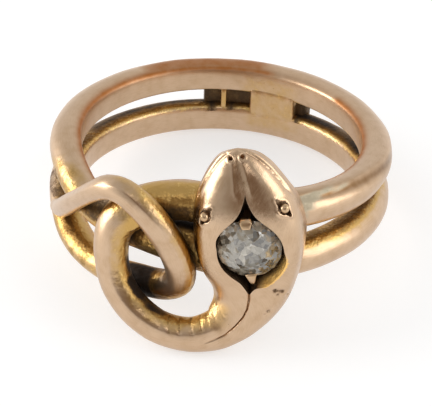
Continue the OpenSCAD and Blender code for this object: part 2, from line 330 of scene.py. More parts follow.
# pushes points that lie inside the finger hole out to its wall, with a soft corner:
# lift becomes half of (lift + the root of lift squared plus four times rounding squared)
def offTheFinger(points):
    radius = np.hypot(points[..., 0], points[..., 1])
    lift = radius - hoop["wallRadius"]
    soft = 0.5 * (lift + np.sqrt(lift ** 2 + 4 * body["wallRound"] ** 2))
    points = points.copy()
    points[..., :2] *= ((hoop["wallRadius"] + soft) / radius)[..., None]
    return points


# outward normals of a closed-round grid: slope along the path crossed with slope round the section
def gridNormals(points):
    along = np.gradient(points, axis=0)
    around = np.roll(points, -1, axis=1) - np.roll(points, 1, axis=1)
    normals = np.cross(around, along)
    normals /= np.maximum(np.linalg.norm(normals, axis=-1, keepdims=True), 1e-9)
    outward = points - points.mean(axis=1, keepdims=True)
    return normals * np.sign((normals * outward).sum())


# cuts and marks that the maker and wear left, in millimetres but for the angle round the section
marks = {
    "shoulder": 0.07,        # rise of the edge along each side of the head, and where it runs
    "shoulderPhi": 52.0,
    "creaseDepth": 0.15, "creaseWidth": 0.038,
    "creaseMouth": 0.03,     # how much wider it is where it leaves the hollow
    "lipLift": 2.62, "lipDepth": 0.13, "lipWidth": 0.12, "lipRim": 0.035,
    "panelDip": 0.04, "panelEdge": 0.014,
    "nickDepth": 0.035, "nickWidth": 0.085,
    "eyeRim": 0.05, "nostrilRim": 0.045,
}
# crease that parts the neck below the stone into two lobes: sideways and rise in the head's frame
creaseLine = np.array([
    [-0.3, -2.9], [-0.34, -3.31], [-0.53, -4.0], [-0.83, -4.55], [-1.37, -5.16], [-2.03, -5.69],
    [-2.78, -6.0], [-3.6, -6.24],
])
# nicks across the inner side of the loop: angle and height at either end, and depth share
nicks = np.array([
    [1.2, -2.9, 2.6, -3.3, 0.3],
    [-0.6, -3.15, 0.4, -3.6, 0.4],
    [-2.6, -3.35, -1.6, -3.9, 0.7],
    [-4.9, -3.5, -3.4, -4.25, 1],
    [-7.7, -3.62, -6, -4.5, 1],
    [-10.6, -3.85, -9.4, -4.6, 1],
    [-13.4, -4, -12.4, -4.6, 0.8],
    [-15.8, -3.85, -15, -4.4, 0.6],
])
# pits: place in the ring frame, radius and depth
pits = np.array([
    [3.54, -12.64, -1.17, 0.17, 0.13],
    [3.68, -12.56, -1.21, 0.13, 0.10],
    [3.82, -12.48, -1.26, 0.13, 0.11],
    [3.98, -12.38, -1.34, 0.16, 0.13],
    [3.72, -12.50, -1.50, 0.13, 0.10],
    [4.28, -11.95, -1.78, 0.12, 0.08],
    [3.19, -12.38, -2.76, 0.16, 0.12],
    [3.02, -12.42, -2.98, 0.11, 0.08],
    [7.92, -6.99, -1.66, 0.14, 0.08],
    [8.05, -6.80, -1.52, 0.11, 0.07],
])
# eyes and nostrils, -1 at the left and 1 at the right: place in the head's frame, slope of the flank in degrees, reach
# of the cuts with their points, lifts between which they are cut, and the beads
eyes = {
    "places": {-1: (-2.36, 2.50), 1: (2.30, 2.70)}, "slopes": {-1: 33.0, 1: 40.0},
    "reach": 0.4, "upperTip": 0.3, "lowerTip": 0.34, "cutFloor": -0.2, "beadRadius": 0.285, "beadLift": 0.08,
}
nostrils = {
    "places": {-1: (-0.57, 5.78), 1: (0.12, 5.84)}, "radius": 0.14, "squash": 0.78, "floorLift": 2.6, "topLift": 4.5,
}
# the two faint ridges of the snout's panel: sideways and rise, from nostril to stone
panelLeft = np.array([[-0.52, 5.7], [-0.52, 4.9], [-0.5, 3.9], [-0.3, 3.3]])
panelRight = np.array([[0.08, 5.75], [0.32, 4.85], [0.5, 3.9], [0.5, 3.3]])


# wall coordinates as flat millimetres: arc length at the crown's radius, and height
def unrolled(angle, height, radius=12.6):
    return np.stack([np.radians(angle) * radius, height + 0 * angle], axis=-1)


# lift of the head's upper skin at an eye, from the plain section that crosses it
def liftAt(x, z):
    plain = toHead(skinned(fineFrames, body["fineSides"])[0])
    far = np.hypot(plain[..., 0] - x, plain[..., 2] - z) + 9.0 * (plain[..., 1] < 2.2)
    return plain.reshape(-1, 3)[far.argmin(), 1]


eyeLift = {way: liftAt(*eyes["places"][way]) for way in (-1, 1)}


# an eye's own frame from the head frame: across the flank towards the crown, square to the flank,
# and up towards the snout; way is -1 at the left and 1 at the right
def eyeFrame(head, way):
    x, z = eyes["places"][way]
    a = math.radians(eyes["slopes"][way])
    dx, dy = -way * (head[..., 0] - x), head[..., 1] - eyeLift[way]
    return dx * math.cos(a) + dy * math.sin(a), -dx * math.sin(a) + dy * math.cos(a), head[..., 2] - z


# the same frame back to head coordinates
def fromEye(u, v, w, way):
    x, z = eyes["places"][way]
    a = math.radians(eyes["slopes"][way])
    across, up = u * math.cos(a) - v * math.sin(a), u * math.sin(a) + v * math.cos(a)
    return np.stack([x - way * across, eyeLift[way] + up, z + w + 0 * u], axis=-1)


# outline of an eye cut, its distance in each direction: a round with two long points
def eyeOutline(angle):
    near = lambda middle: (angle - math.radians(middle) + math.pi) % fullTurn - math.pi
    return eyes["reach"] + eyes["upperTip"] * bell(near(55), 0.3) + eyes["lowerTip"] * bell(near(240), 0.3)


# how near the crease each point of the head frame lies, from 0 to 1, for a crease of the given width
def creaseShare(head, width):
    far = toLine(head[..., [0, 2]], creaseLine)
    wide = width + marks["creaseMouth"] * easeStep(-4.2, -3.1, head[..., 2])
    fade = 0.75 * easeStep(-3.2, -1.4, head[..., 0]) + 0.25 * easeStep(-3.7, -3.0, head[..., 0])
    return bell(far, wide) * fade * (head[..., 1] > 2.9)


# how near the line of the mouth each point lies, from 0 to 1, fading between the nostrils
def lipShare(head, width, down=0.0):
    x, lift, rise = (head[..., k] for k in range(3))
    share = bell(lift - marks["lipLift"] + down, width) * easeStep(2.7, 3.6, rise) * (np.abs(x) < 3.4)
    return share * (1 - 0.9 * bell(x + 0.2, 0.6))


# depth of the pits at each point, each pit a bell as wide as its row says
def pitShare(points):
    angle, height, lift = fromWall(points)
    flat = unrolled(angle, height)
    depth = np.zeros(angle.shape)
    for row in pits:
        angle, height, _ = fromWall(row[:3])
        far = np.linalg.norm(flat - unrolled(angle, height), axis=-1)
        depth = np.maximum(depth, row[4] * bell(far, row[3]))
    return depth * (lift > 2.2)


# how near a nick on the inner side of the loop each point lies, from 0 to 1
def nickShare(points, width):
    angle, height, lift = fromWall(points)
    flat = unrolled(angle, height)
    share = np.zeros(angle.shape)
    for row in nicks:
        share = np.maximum(share, row[4] * bell(toLine(flat, unrolled(row[[0, 2]], row[[1, 3]])), width))
    return share * (lift > 2.9) * (height < -2.7)


# how far inside the snout's panel each point lies, from 0 at its two edges to 1
def panelShare(head):
    place = head[..., [0, 2]]
    left, right = (np.interp(head[..., 2], line[::-1, 1], line[::-1, 0]) for line in (panelLeft, panelRight))
    inside = (head[..., 0] > left) & (head[..., 0] < right) & (head[..., 1] > 2.6)
    deep = np.minimum(toLine(place, panelLeft), toLine(place, panelRight))
    return inside * easeStep(0, 0.35, deep) * easeStep(6.0, 5.6, head[..., 2]) * easeStep(3.2, 4.2, head[..., 2])


# how far each point of the skin moves along its normal: the sum of ridge and groove, shoulders, crease, nicks, mouth,
# panel, rims and pits, each its size times its share, and a small sway of crossed sines
def carved(points, phi, ridge, frames):
    lift = fromWall(points)[2]
    head = toHead(points)
    place, headLift, rise = head[..., [0, 2]], head[..., 1], head[..., 2]
    high = part(frames, "ridgeHeight")
    groove = 0.45 * bell(ridge + 20, 15) * easeStep(0.06, 0.13, high)
    move = high * (crest(ridge / (body["ridgeWidth"] * (0.5 + 8 * high))) - groove)
    shoulder = crest((np.abs(phi - 90) - marks["shoulderPhi"]) / 8.0) * (headLift > 2.2)
    move = move + marks["shoulder"] * shoulder * easeStep(-4.2, -2.4, rise) * easeStep(2.0, 1.0, rise)
    outer = easeStep(5, 30, phi) * easeStep(178, 155, phi)
    move = move - marks["creaseDepth"] * creaseShare(head, marks["creaseWidth"]) * outer
    move = move - marks["nickDepth"] * nickShare(points, marks["nickWidth"]) * easeStep(80, 62, phi)
    move = move + marks["lipRim"] * lipShare(head, 0.11, 0.22) - marks["lipDepth"] * lipShare(head, marks["lipWidth"])
    crown = (headLift > 2.6) & (phi > 20) & (phi < 160)
    edges = bell(toLine(place, panelLeft), 0.12) + bell(toLine(place, panelRight), 0.12)
    edges = edges * easeStep(3.3, 4.0, rise) * easeStep(5.9, 5.6, rise)
    move = move + crown * (marks["panelEdge"] * edges - marks["panelDip"] * panelShare(head))
    for way in (-1, 1):
        far = np.linalg.norm(place - np.array(nostrils["places"][way]), axis=-1)
        move = move + crown * marks["nostrilRim"] * bell(far - nostrils["radius"] - 0.06, 0.06)
        u, v, w = eyeFrame(head, way)
        beyondCut = np.hypot(u, w) - eyeOutline(np.arctan2(w, u))
        rim = bell(beyondCut - 0.08, 0.08) * (np.abs(v) < 0.7) * (0.5 + 0.7 * easeStep(0.1, -0.3, w))
        move = move + marks["eyeRim"] * rim
    move = move - pitShare(points) * (outer > 0.5)
    x, y, z = (points[..., k] for k in range(3))
    sway = np.sin(1.3 * x + 0.7 * z + 1) * np.sin(0.9 * y + 1.1 * z)
    sway = sway + 0.6 * np.sin(2.9 * z + 1.7 * x) * np.sin(2.3 * y - 1.2 * x)
    return move + body["unevenness"] * sway * easeStep(0.05, 0.5, lift)


# the skin: its plain sections, off the finger, moved along their normals by the carving
def bodySurface(frames, sides):
    points, phi, ridge = skinned(frames, sides)
    points = offTheFinger(points)
    return points + gridNormals(points) * carved(points, phi, ridge, frames)[..., None], phi, ridge


finePoints, finePhi, fineRidge = bodySurface(fineFrames, body["fineSides"])
coilPoints, coilPhi, coilRidge = bodySurface(coilFrames, body["bodySides"])
coilPoints[0] = finePoints[-1, ::2]    # the plain sections start on every other corner of the last fine one


# quads between the rings of a closed-round grid, as rows of four corner numbers
def ringQuads(rings, sides, start=0):
    i, k = np.meshgrid(np.arange(rings - 1), np.arange(sides), indexing="ij")
    a, b = start + i * sides + k, start + i * sides + (k + 1) % sides
    return np.stack([a, a + sides, b + sides, b], axis=-1).reshape(-1, 4)


# triangles from one corner to every side of a ring
def fan(tip, ring, flip=False):
    a, b = ring, np.roll(ring, -1)
    faces = np.stack([np.full(len(ring), tip), a, b], axis=1)
    return faces[:, ::-1] if flip else faces


# ring of points at one lift: x = radius times cosine, z = radius times sine
def flatRing(radius, lift, angles):
    return np.stack([radius * np.cos(angles), lift + 0 * angles, radius * np.sin(angles)], axis=1)


# blunt circle: cosine and sine of the angles, their sizes raised to a power below 1
def bluntCircle(angles, power):
    return [np.sign(wave) * np.abs(wave) ** power for wave in (np.cos(angles), np.sin(angles))]


# object put into the scene
def placed(name, data):
    thing = bpy.data.objects.new(name, data)
    bpy.context.scene.collection.objects.link(thing)
    return thing


# mesh object from corner points (ring frame, millimetres) and lists of faces, turned so that it holds a
# positive volume
def meshPiece(name, points, faceLists, smooth=True):
    points = np.asarray(points, float).reshape(-1, 3)
    volume = 0.0
    for faces in faceLists:
        for k in range(1, faces.shape[1] - 1):
            a, b, c = points[faces[:, 0]], points[faces[:, k]], points[faces[:, k + 1]]
            volume += (a * np.cross(b, c)).sum()
    faceLists = [f if volume > 0 else f[:, ::-1] for f in faceLists]
    mesh = bpy.data.meshes.new(name)
    corners = np.concatenate([f.ravel() for f in faceLists])
    sizes = np.concatenate([np.full(len(f), f.shape[1]) for f in faceLists])
    mesh.vertices.add(len(points))
    mesh.vertices.foreach_set("co", atRest(points).astype(np.float32).ravel())
    mesh.loops.add(len(corners))
    mesh.loops.foreach_set("vertex_index", corners.astype(np.int32))
    mesh.polygons.add(len(sizes))
    mesh.polygons.foreach_set("loop_start", np.concatenate([[0], np.cumsum(sizes)[:-1]]).astype(np.int32))
    mesh.polygons.foreach_set("use_smooth", np.full(len(sizes), smooth))
    mesh.update(calc_edges=True)
    mesh.validate()
    return placed(name, mesh)


# closed solid between rings of points, each end closed by a fan to its middle
def loftedPiece(name, rings):
    rings = np.asarray(rings, float)
    count, sides = rings.shape[:2]
    points = np.vstack([rings.reshape(-1, 3), rings[0].mean(axis=0), rings[-1].mean(axis=0)])
    first, last = np.arange(sides), (count - 1) * sides + np.arange(sides)
    ends = [fan(count * sides, first), fan(count * sides + 1, last, True)]
    return meshPiece(name, points, [ringQuads(count, sides)] + ends)


# how crowded each point is by strands close by other than its own: the sum over path points of the
# cosine to each, times the square of its radius over its distance, fading out from 2 to 5 mm away
def crowding(points, normals, run, pathPoints, pathRun, pathRadius):
    total = np.zeros(len(points))
    for q, s, r in zip(pathPoints, pathRun, pathRadius):
        toward = q - points
        far = np.maximum(np.linalg.norm(toward, axis=1), 1e-6)
        facing = np.clip((toward * normals).sum(axis=1) / far, 0, 1)
        total += facing * np.clip(r / far, 0, 1) ** 2 * easeStep(3.5, 5.5, np.abs(run - s)) * easeStep(5, 2, far)
    return total


# one value or vector for each corner, kept with the mesh for its finish to read
def paintPoints(piece, name, values):
    values = np.asarray(values, float)
    kind, key = ("FLOAT_VECTOR", "vector") if values.ndim > 1 else ("FLOAT", "value")
    piece.data.attributes.new(name, kind, "POINT").data.foreach_set(key, values.astype(np.float32).ravel())


fineCount, coilCount = len(finePoints), len(coilPoints)
fineSides, coilSides = body["fineSides"], body["bodySides"]
points = np.vstack([finePoints.reshape(-1, 3), coilPoints[1:].reshape(-1, 3)])
coilStart = fineCount * fineSides
lastFine = (fineCount - 1) * fineSides + np.arange(fineSides)
firstCoil = coilStart + np.arange(coilSides)
lastCoil = firstCoil + (coilCount - 2) * coilSides
even, odd, nextEven = lastFine[::2], lastFine[1::2], np.roll(lastFine[::2], -1)
nextCoil = np.roll(firstCoil, -1)
snoutTip, tailTip = len(points), len(points) + 1
points = np.vstack([points, finePoints[0].mean(axis=0), coilPoints[-1].mean(axis=0)])
snake = meshPiece("goldSnake", points, [
    ringQuads(fineCount, fineSides),
    ringQuads(coilCount - 1, coilSides, coilStart),
    np.stack([even, firstCoil, odd], axis=1),
    np.stack([odd, firstCoil, nextCoil], axis=1),
    np.stack([odd, nextCoil, nextEven], axis=1),
    fan(snoutTip, np.arange(fineSides)),
    fan(tailTip, lastCoil, True),
])


# one value for each corner of the skin from grids over the fine and the plain sections
def overSkin(fine, coil):
    return np.concatenate([fine.ravel(), coil[1:].ravel(), [fine[0].mean(), coil[-1].mean()]])


allFrames = np.vstack([fineFrames, coilFrames[1:]])
middles = part(allFrames, "middle")
radii = sum(np.linalg.norm(part(allFrames, name), axis=1) * 0.5 for name in ("side", "crown"))
pathRun = np.concatenate([[0], np.cumsum(np.linalg.norm(np.diff(middles, axis=0), axis=1))])
step = np.searchsorted(pathRun, np.arange(0.5, pathRun[-1], 0.7))
runFine = np.repeat(pathRun[:fineCount, None], fineSides, axis=1)
runCoil = np.repeat(pathRun[fineCount - 1:, None], coilSides, axis=1)
run = overSkin(runFine, runCoil)
around = overSkin(finePhi, coilPhi)


# gold beyond the ridge, deepening over the half turn that follows it
def beyondRidge(ridge, frames):
    return (0.55 * easeStep(10, -18, ridge) + 0.45 * easeStep(-15, -60, ridge)) * part(frames, "beyond")


# rounded edge between the inner wall and the upper side of the bands
def innerEdge(points, phi):
    return bell(phi - 216, 15) * easeStep(1.3, 0.9, fromWall(points)[2])


# soft-edged patches on the gold: first and last angle, lowest and highest height, nearest and farthest lift, strength
patches = {
    "grimeAndShade": [    # painted shade and dark grime between the turns
        [180.6, 187.6, -1.05, 0.45, -0.1, 1, 1],
        [173.6, 179, -0.95, 0.45, -0.1, 1, 1],
        [144.8, 149.2, -0.95, 0.45, -0.1, 1, 1],
        [267, 284, -1.8, -0.8, 0.9, 2.6, 0.8],
        [283, 306, -0.6, 0.7, 1.2, 2.6, 0.4],
        [284, 312, -4.4, -2.2, 1.2, 2.6, 0.5],
    ],
    "shade": [    # painted shade and brown stains at the back, where strands cross, and on the loop's inner side
        [108, 147, -0.95, -0.25, 0.36, 1.4, 0.85],
        [187, 241, -0.95, -0.3, 0.6, 1.6, 0.85],
        [286, 300, 0.3, 1.8, 0.7, 2.4, 0.45],
        [284, 291, 0.3, 1.2, 1.4, 2.3, 0.8],
        [308, 323, -0.1, 1.3, 0.5, 2.3, 0.9],
        [326, 338, -3.7, -2.1, 0.9, 2.4, 1.3],
        [337, 356, 1.9, 3.3, 1.2, 2.6, 0.8],
        [337.5, 344, 3.6, 4.7, 4.2, 4.9, 0.45],
        [330, 334.5, -1.9, -0.6, 2.2, 3.1, 1.2],
        [332.5, 339.5, -3.3, -1.8, 2.4, 3.4, 1.6],
        [337.5, 346, -4, -3.2, 2.8, 3.5, 1.2],
    ],
    "copper": [    # copper patina and a painted orange reflection at the back's upper edge
        [162, 212, 1.95, 3.4, -0.1, 1.3, 0.85],
    ],
    "clear": [    # where that edge keeps neither copper patina nor painted reflection
        [127, 160, 1.2, 3.5, -0.5, 2, 0.8],
    ],
    "solder": [    # pale solder beside the head
        [22, 35, 2.75, 3.15, 1.1, 1.9, 1.2],
        [22, 32, 2.4, 2.85, 1.2, 2.2, 1.2],
        [22, 29.5, 1.9, 2.5, 1.3, 2.6, 1.1],
        [34, 43, 2.9, 3.1, 1, 1.5, 0.9],
        [42, 51, 2.74, 2.92, 1.1, 1.6, 0.7],
    ],
    "glow": [    # painted warm glow on the loop's inner side, below the head
        [-7, 3.5, -4.1, -2.5, 2.2, 3.9, 0.5],
    ],
    "open": [    # where crowding counts for less
        [24, 84, -1.5, -0.5, 1.1, 2.4, 0.95],
        [339, 352, -3.2, -1.5, 2.1, 3.1, 0.6],
    ],
    "yellow": [    # yellower gold
        [147, 171, -1.9, 1.7, -0.2, 0.6, 0.6],
        [20, 84, -0.55, -0.1, 1, 2.1, 0.8],
        [283, 316, -4.4, -1.4, 1, 2.6, 0.7],
        [284, 302, 0.2, 1.9, 0.7, 2.4, 0.7],
        [334, 353, 3.2, 4.5, 1, 2.5, 0.95],
    ],
}


# share of each point in one kind of patch, from 0 to 1: its strength times the window of each measure
def inPatches(points, kind, soft):
    angle, height, lift = fromWall(points)
    share = np.zeros(angle.shape)
    for first, last, low, high, near, far, strength in patches[kind]:
        middle = (first + last) / 2
        angle = (angle - middle + 180) % 360 - 180 + middle
        inside = window(first, last, 6 * soft, angle) * window(low, high, soft, height) * window(near, far, soft, lift)
        share = np.maximum(share, strength * inside)
    return share


beyond = overSkin(beyondRidge(fineRidge, fineFrames), beyondRidge(coilRidge, coilFrames))
edge = overSkin(0 * finePhi, innerEdge(coilPoints, coilPhi))
upper = overSkin(0 * finePhi, easeStep(-0.4, 0.4, coilFrames[:, 2:3]) + 0 * coilPhi)
normals = np.vstack([gridNormals(finePoints).reshape(-1, 3), gridNormals(coilPoints)[1:].reshape(-1, 3),
                     np.zeros((2, 3))])    # the two tips need none
# crowding stands for how much the other strands block the light: below it yellows the gold and darkens it with stain,
# soot and painted shade
crowd = crowding(points, normals, run, middles[step], pathRun[step], radii[step])
crowd = crowd * (1 - inPatches(points, "open", 0.12))
# a painted dark band of shade below the ridge, where the surface hollows
underRidge = overSkin(*(bell(ridge + 18, 15) * easeStep(0.06, 0.16, part(frames, "ridgeHeight"))
                        for ridge, frames in ((fineRidge, fineFrames), (coilRidge, coilFrames))))
underRidge = underRidge * (points[:, 2] > 0)
girth = np.interp(run, pathRun, radii)
paintPoints(snake, "course", np.stack([run, np.radians(around) * girth, 0 * run], axis=1))
paintPoints(snake, "beyond", np.maximum(beyond, inPatches(points, "yellow", 0.4)))
paintPoints(snake, "crowd", crowd)
paintPoints(snake, "underRidge", underRidge)
# copper patina and a painted orange reflection on the upper band's rounded inner top edge, left out where that edge is
# clear
paintPoints(snake, "copperEdgeAndReflection", np.maximum(edge * upper * (1 - inPatches(points, "clear", 0.4)),
                                            inPatches(points, "copper", 0.35)))
# a painted highlight on the lower band's rounded inner top edge
paintPoints(snake, "goldEdgeHighlight", edge * (1 - upper))
print("snake skinned:", len(points), "corners, crowding up to", round(float(crowd.max()), 2))

# hollow round the stone: outline of the round seat with a point at either end
hollow = {
    "radius": 2.02, "floorLift": 2.2, "topLift": 4.9,
    "snoutPoint": (0.13, 3.82), "neckPoint": (-0.3, -3.0),
    "narrow": {"snoutPoint": 0.145, "neckPoint": 0.16},    # angle over which each point spreads
    "flare": 0.07, "neckFlare": 0.32,
    "slope": (-84.0, -14.0),          # directions between which the wall slopes
    "lean": 0.13,                     # how far the rim leans in over the stone between two more directions
    "leanFrom": (-205.0, -96.0),
}


# distance of the outline from the stone's middle in each direction: the radius, and towards either
# point more, by e to the minus (angle / narrow) ^ 0.8
def hollowOutline(angles):
    reach = np.full(angles.shape, hollow["radius"])
    for name, narrow in hollow["narrow"].items():
        x, z = hollow[name]
        off = np.abs((angles - math.atan2(z, x) + math.pi) % fullTurn - math.pi)
        reach = reach + (math.hypot(x, z) - hollow["radius"]) * np.exp(-((off / narrow) ** 0.8))
    return reach


# share of the hollow's sloping side, below the stone at the right, in each direction
def slopeShare(angles):
    turned = np.degrees((angles + math.pi) % fullTurn - math.pi)
    first, last = hollow["slope"]
    return easeStep(first - 8, first + 14, turned) * easeStep(last + 14, last - 14, turned)


# share of the rim that leans in, below the stone at the left, in each direction
def leanShare(angles):
    turned = np.degrees(angles % fullTurn) - 360
    first, last = hollow["leanFrom"]
    return easeStep(first - 10, first + 20, turned) * easeStep(last + 4, last - 16, turned)


# closed rings of the hollow, its corners crowding towards its two points
def hollowRings():
    snout, neck = (math.atan2(z, x) for x, z in (hollow["snoutPoint"], hollow["neckPoint"]))
    t = np.linspace(0, 1, 101)[:-1]
    crowded = t - 0.85 * np.sin(fullTurn * t) / fullTurn
    angles = np.concatenate([neck + (snout - neck) * crowded, snout + (neck + fullTurn - snout) * crowded])
    reach = hollowOutline(angles)
    slope, lean = hollow["neckFlare"] * slopeShare(angles), leanShare(angles)
    flare = hollow["flare"] * (1 - lean) - hollow["lean"] * lean
    topFlare = 4 * hollow["flare"] * (1 - lean) + flare * lean + 1.5 * slope
    levels = ((hollow["floorLift"], 0), (3.3, 0), (3.75, 0.45 * slope), (4.2, flare + slope),
              (hollow["topLift"], topFlare))
    return fromHead([flatRing(reach + more, lift, angles) for lift, more in levels])


# closed rings of an eye cut, wider with each step up from its floor
def eyeCutRings(way):
    angle = fullTurn * np.arange(72) / 72
    rings = []
    for v, spread in ((eyes["cutFloor"], 0.85), (0.0, 0.95), (0.15, 1.02), (0.9, 1.35)):
        r = eyeOutline(angle) * spread
        rings.append(fromEye(r * np.cos(angle), v, r * np.sin(angle), way))
    return fromHead(rings)


# closed rings of a nostril: x + radius cos a, z + squash radius sin a
def nostrilRings(way):
    a = fullTurn * np.arange(24) / 24
    x, z = nostrils["places"][way]
    across, up = x + nostrils["radius"] * np.cos(a), z + nostrils["squash"] * nostrils["radius"] * np.sin(a)
    return fromHead([np.stack([across, nostrils[lift] + 0 * a, up], axis=1) for lift in ("floorLift", "topLift")])


# cuts closed solids out of a piece and keeps the result as its mesh: corners that fall together are welded, and twin
# faces with no room between them and what hangs from them loose are dropped
def cutOut(piece, cutters):
    for cutter in cutters:
        step = piece.modifiers.new("cut", "BOOLEAN")
        step.operation = "DIFFERENCE"
        step.solver = "MANIFOLD"
        step.object = cutter
    mesh = bpy.data.meshes.new_from_object(piece.evaluated_get(bpy.context.evaluated_depsgraph_get()))
    work = bmesh.new()
    work.from_mesh(mesh)
    bmesh.ops.remove_doubles(work, verts=work.verts, dist=0.001 * mm)
    bmesh.ops.triangulate(work, faces=[face for face in work.faces if len(face.verts) > 4])
    for _ in range(2):
        packed = {face for edge in work.edges if len(edge.link_faces) > 2 for face in edge.link_faces}
        twins = [face for face in packed if sum(set(face.verts) == set(other.verts) for other in packed) > 1]
        bmesh.ops.delete(work, geom=twins, context="FACES")
        loose = {face for edge in work.edges if len(edge.link_faces) == 1 for face in edge.link_faces}
        bmesh.ops.delete(work, geom=list(loose), context="FACES")
    work.to_mesh(mesh)
    work.free()
    piece.modifiers.clear()
    piece.data = mesh
    for cutter in cutters:
        bpy.data.objects.remove(cutter)


before = len(snake.data.vertices)
cutOut(snake, [loftedPiece("hollowCut", hollowRings())]
       + [loftedPiece("eyeCut", eyeCutRings(way)) for way in (-1, 1)]
       + [loftedPiece("nostrilCut", nostrilRings(way)) for way in (-1, 1)])
print("cuts made:", before, "to", len(snake.data.vertices), "corners")


# the hollow's sloping side, from 0 to 1
def slopeSkin(points):
    x, lift, z = toHead(points).T
    angle = np.arctan2(z, x)
    slope = slopeShare(angle)
    near = np.hypot(x, z) < hollowOutline(angle) + 1.2 * hollow["neckFlare"] * slope + 0.05
    return slope * near * easeStep(3.1, 3.5, lift) * easeStep(4.5, 4.2, lift)


# how much painted shade and grime each corner holds, from 0 to 1: in the hollow, but for its sloping side, in the eye
# cuts, nostrils, crease, mouth, nicks and pits, a painted dark reflection on the snout's panel, and in the patches
# above
def shadeAndGrimeShare(points):
    head = toHead(points)
    x, lift, z = head.T
    angle = np.arctan2(z, x)
    slope = slopeShare(angle)
    inHollow = np.hypot(x, z) < hollowOutline(angle) + hollow["neckFlare"] * slope + 0.03
    inHollow = inHollow & (lift > hollow["floorLift"] - 0.1)
    shares = [
        inHollow * easeStep(4.25, 3.7, lift) * (1 - slope * easeStep(3.0, 3.4, lift)),
        0.4 * panelShare(head),
        0.9 * creaseShare(head, marks["creaseWidth"] * 0.7),
        0.6 * lipShare(head, marks["lipWidth"]),
        0.7 * nickShare(points, marks["nickWidth"]),
        np.minimum(9 * pitShare(points), 0.8),
        inPatches(points, "shade", 0.32),
        inPatches(points, "grimeAndShade", 0.06),
    ]
    for way in (-1, 1):
        u, v, w = eyeFrame(head, way)
        inCut = (np.hypot(u, w) < eyeOutline(np.arctan2(w, u)) + 0.02) & (v > eyes["cutFloor"] - 0.1)
        nostrilX, nostrilZ = nostrils["places"][way]
        far = np.hypot(x - nostrilX, z - nostrilZ)
        inNostril = (far < nostrils["radius"] + 0.01) & (lift > nostrils["floorLift"] - 0.1)
        shares += [inCut * easeStep(0.22, 0.0, v) * 0.8, 0.6 * inNostril]
    return np.maximum.reduce(shares)


# corners of a piece, back in the ring's frame in millimetres
def cornersOf(piece):
    corners = np.empty(len(piece.data.vertices) * 3)
    piece.data.vertices.foreach_get("co", corners)
    return corners.reshape(-1, 3) / mm @ restMatrix


cutPoints = cornersOf(snake)
sideways, headLift, rise = toHead(cutPoints).T
# painted shade and grime in the recesses, on the snout's panel and in the patches
paintPoints(snake, "shadeAndGrime", shadeAndGrimeShare(cutPoints))
paintPoints(snake, "pale", inPatches(cutPoints, "solder", 0.08))
paintPoints(snake, "polish", easeStep(-2.0, 0.0, rise) * (headLift > 2.2) * (np.abs(sideways) < 3.6))
# a painted warm glow, brighter and less metallic gold, on the hollow's sloping side and in the glow patches
paintPoints(snake, "slope", np.maximum(slopeSkin(cutPoints), inPatches(cutPoints, "glow", 0.3)))
snake.data.set_sharp_from_angle(angle=math.radians(38))

# claws that hold the stone at its two ends: thickness, foot and gap from the stone's edge, lift of the bend over the
# girdle and pitch of the tip; then for each how far it grips over the stone, and its widths from foot to tip
claws = {"thick": 0.26, "foot": 0.45, "gap": 0.08, "over": 0.2, "pitch": 0.8}
clawRows = {
    "clawBelow": {"way": -1, "grip": 0.62, "widths": [0.3, 0.3, 0.1, 0.34, 0.68]},
    "clawAbove": {"way": 1, "grip": 0.32, "widths": [0.45, 0.5, 0.66, 0.74, 0.46]},
}
# parts of the stone's height in mm, of its width as shares of its radius
stone = {
    "radius": 1.945, "rise": 0.05, "lift": 3.67, "crown": 0.62, "girdle": 0.05, "depth": 1.3,
    "table": 0.5, "midCrown": 0.76, "midPavilion": 0.42, "culet": 0.1,
}


# bar carried along four bends from the foot over the girdle to the tip: each ring is a rounded
# rectangle, the fourth-power ellipse, square to the bend, as wide as the row of widths says
def clawRings(way, grip, widths):
    edge = stone["radius"]
    hook = stone["lift"] + claws["over"]
    spine = np.array([
        [1.95, edge - claws["foot"] + 0.14],
        [stone["lift"] - 0.3, edge + claws["gap"] + 0.04],
        [hook, edge + claws["gap"] + 0.12],
        [hook + 0.22, edge + claws["gap"] - 0.05],
        [hook + grip * claws["pitch"] + 0.06, edge - grip],
    ])
    t = np.linspace(0, 4, 33)
    places = throughRows(spine, t)
    ahead = np.gradient(places, axis=0)
    ahead /= np.linalg.norm(ahead, axis=1, keepdims=True)
    square = np.stack([-ahead[:, 1], ahead[:, 0]], axis=1)
    wide = np.interp(t, np.arange(5), widths)
    blunt = 1 - 0.6 * easeStep(3.8, 4.0, t)
    a = fullTurn * np.arange(24) / 24
    across, thick = bluntCircle(a, 0.5)
    across, thick = across / 2, thick * claws["thick"] / 2
    rings = []
    for place, normal, width, full in zip(places, square, wide, blunt):
        lift = place[0] + thick * normal[0] * full
        rise = way * (place[1] + thick * normal[1] * full)
        rings.append(np.stack([across * width, lift, rise], axis=1))
    return fromHead(rings)


goldPieces = [loftedPiece(name, clawRings(**row)) for name, row in clawRows.items()]


# eye bead, a ball: radius times the cosine and sine of latitude, with a dimple at its front
def beadRings(way):
    latitude = np.radians(np.linspace(-88, 88, 23))[:, None]
    a = fullTurn * np.arange(32)[None, :] / 32
    r = eyes["beadRadius"]
    u, w = r * np.cos(latitude) * np.cos(a), r * np.cos(latitude) * np.sin(a)
    v = eyes["beadLift"] + r * np.sin(latitude) - 0.04 * bell(np.hypot(u, w), 0.07) * (latitude > 0) + 0 * a
    return fromHead(fromEye(u, v, w, way))


goldPieces += [loftedPiece("eyeLeft", beadRings(-1)), loftedPiece("eyeRight", beadRings(1))]

# solder that joins the two turns at the back: first and last angle, nearest and farthest lift, lowest
# and highest height
solder = {
    "backPlate": (146.0, 187.3, 0.62, 1.5, -0.95, 0.65),
    "backBridge": (149.0, 168.5, 0.004, 1.4, -1.25, 0.95),
    "backBar": (178.7, 180.9, 0.12, 1.1, -0.95, 0.65),
}


